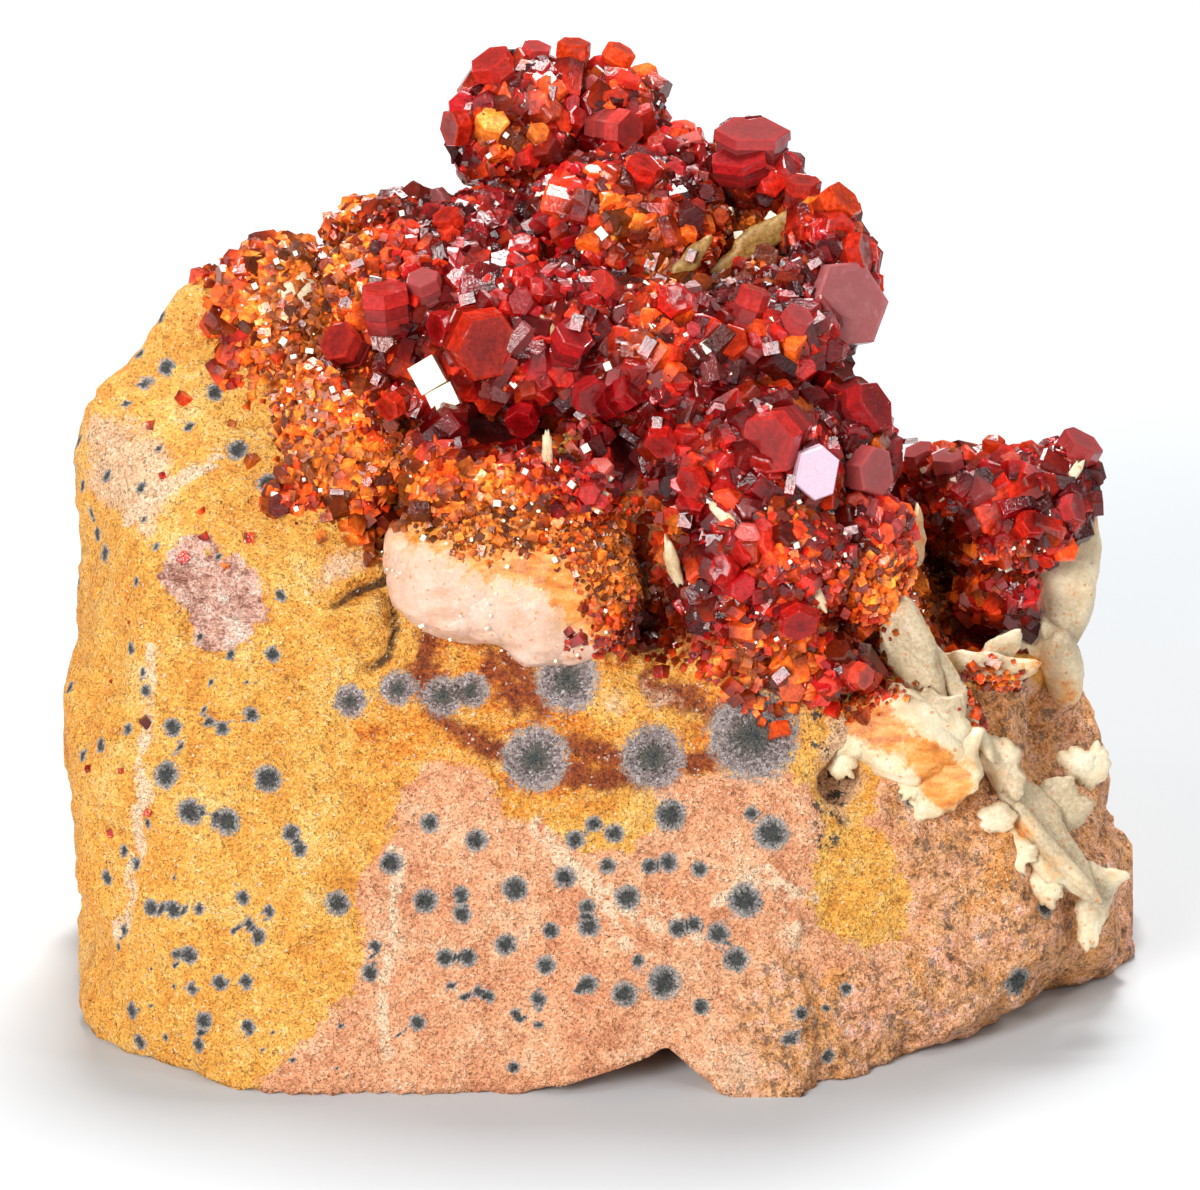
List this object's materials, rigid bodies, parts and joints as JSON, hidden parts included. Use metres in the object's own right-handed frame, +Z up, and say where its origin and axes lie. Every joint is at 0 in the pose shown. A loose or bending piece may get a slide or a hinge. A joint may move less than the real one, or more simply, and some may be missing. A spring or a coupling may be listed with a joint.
{
  "type": "vanadinite crystals on barite and rock matrix",
  "caption": "Mineral specimen: deep red hexagonal vanadinite crystals and cream barite on a block of ochre and pink rock dotted with dark grey manganese rosettes.",
  "frame": {"origin": "on the base plane, under the middle of the block, at the point of the mount named base", "axes": "+Z up, +X along the block's width to the right as seen from the crystal side, -Y towards that side"},
  "size_m": [0.0797, 0.0551, 0.0674],
  "materials": {
    "rock": "rough broken stone with grey spots",
    "barite": "waxy cream mineral, slightly glossy",
    "vanadinite": "glossy deep red crystal faces"
  },
  "bodies": {
    "root": {"matrix_rock": "rock", "barite_mound": "barite", "barite_spray": "barite", "barite_crescent": "barite", "vanadinite_druse": "vanadinite", "vanadinite_cluster": "vanadinite"}
  },
  "joints": []
}
